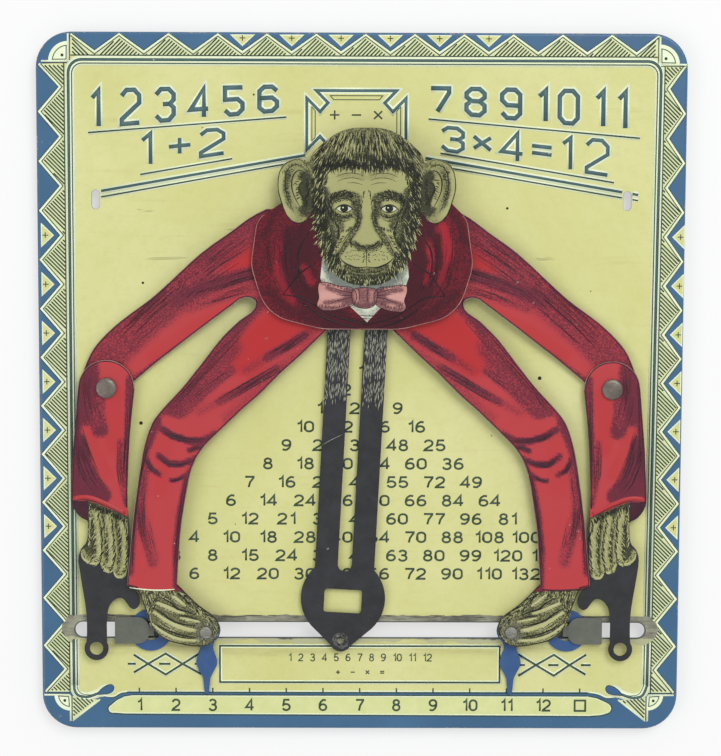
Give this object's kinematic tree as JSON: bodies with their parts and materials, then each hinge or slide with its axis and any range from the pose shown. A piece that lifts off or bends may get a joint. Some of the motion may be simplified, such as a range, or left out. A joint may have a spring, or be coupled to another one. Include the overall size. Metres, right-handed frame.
{
  "type": "tin arithmetic calculator toy",
  "caption": "Flat tin calculating toy: a printed board with a number line, and a jointed figure whose feet slide in a slot and whose tail window frames the answer in a table.",
  "frame": {"origin": "under the middle of the board, at the foot of its turned rim", "axes": "+X to the right of the print, +Y from the number line up to the head, +Z out of the printed face"},
  "size_m": [0.138, 0.15, 0.0072],
  "materials": {
    "printed_tin": "lithographed pale yellow-green, glossy varnish, worn",
    "blue_tin": "lithographed blue, glossy varnish",
    "grey_tin": "lithographed olive grey, dull",
    "red_tin": "lithographed red with dark shading, glossy varnish",
    "dark_red_tin": "lithographed dark red and olive brown, glossy varnish",
    "black_tin": "lithographed black, glossy varnish, worn",
    "bare_steel": "bare steel, tarnished"
  },
  "bodies": {
    "board": {"base_board": "printed_tin"},
    "left_slider": {"left_pointer_plate": "blue_tin", "left_slide_guide": "grey_tin", "left_foot_rivet": "bare_steel", "left_foot_spacer": "bare_steel"},
    "left_limb": {"left_arm_leg_plate": "red_tin", "left_elbow_rivet": "bare_steel"},
    "right_limb": {"right_arm_leg_plate": "red_tin", "right_elbow_rivet": "bare_steel"},
    "right_slider": {"right_pointer_plate": "blue_tin", "right_slide_guide": "grey_tin", "right_foot_rivet": "bare_steel", "right_foot_spacer": "bare_steel"},
    "head": {"head_chest_plate": "dark_red_tin", "neck_rivet": "bare_steel"},
    "tail_swivel": {"neck_washer": "bare_steel"},
    "tail": {"tail_window_plate": "black_tin"},
    "left_forearm": {"left_forearm_plate": "red_tin"},
    "right_forearm": {"right_forearm_plate": "red_tin"}
  },
  "joints": [
    {"name": "left_foot_slide", "type": "slide", "parent": "board", "child": "left_slider", "axis": [1, 0, 0], "range_m": [-0.0147, 0.0091]},
    {"name": "leg_spread", "type": "hinge", "parent": "left_slider", "child": "left_limb", "pos_m": [-0.03325, -0.0531, 0.0045], "axis": [0, 0, 1], "range_deg": [-2.2, 21.2]},
    {"name": "right_leg_hinge", "type": "hinge", "parent": "left_limb", "child": "right_limb", "pos_m": [-0.00035, 0.02015, 0.0045], "axis": [0, 0, 1], "range_deg": [-42.6, 4.6]},
    {"name": "right_foot_pivot", "type": "hinge", "parent": "right_limb", "child": "right_slider", "pos_m": [0.03255, -0.0531, 0.0045], "axis": [0, 0, 1], "range_deg": [-2.3, 21.3]},
    {"name": "neck_turn", "type": "hinge", "parent": "left_limb", "child": "head", "pos_m": [-0.00035, 0.02015, 0.0045], "axis": [0, 0, 1], "range_deg": [-21.3, 2.3]},
    {"name": "tail_swing", "type": "hinge", "parent": "head", "child": "tail_swivel", "pos_m": [-0.00035, 0.02015, 0.0045], "axis": [0, 0, 1], "range_deg": [-6, 12]},
    {"name": "tail_slide", "type": "slide", "parent": "tail_swivel", "child": "tail", "axis": [0.0515, 0.9987, 0], "range_m": [-0.001, 0.057]},
    {"name": "left_elbow", "type": "hinge", "parent": "left_limb", "child": "left_forearm", "pos_m": [-0.05438, -0.00039, 0.0045], "axis": [0, 0, 1], "range_deg": [-95, 18]},
    {"name": "right_elbow", "type": "hinge", "parent": "right_limb", "child": "right_forearm", "pos_m": [0.05368, -0.00039, 0.0045], "axis": [0, 0, -1], "range_deg": [-95, 18]}
  ],
  "couplings": [
    {"joint": "right_leg_hinge", "follows": "leg_spread", "ratio": -2},
    {"joint": "right_foot_pivot", "follows": "leg_spread", "ratio": 1},
    {"joint": "neck_turn", "follows": "leg_spread", "ratio": -1}
  ]
}
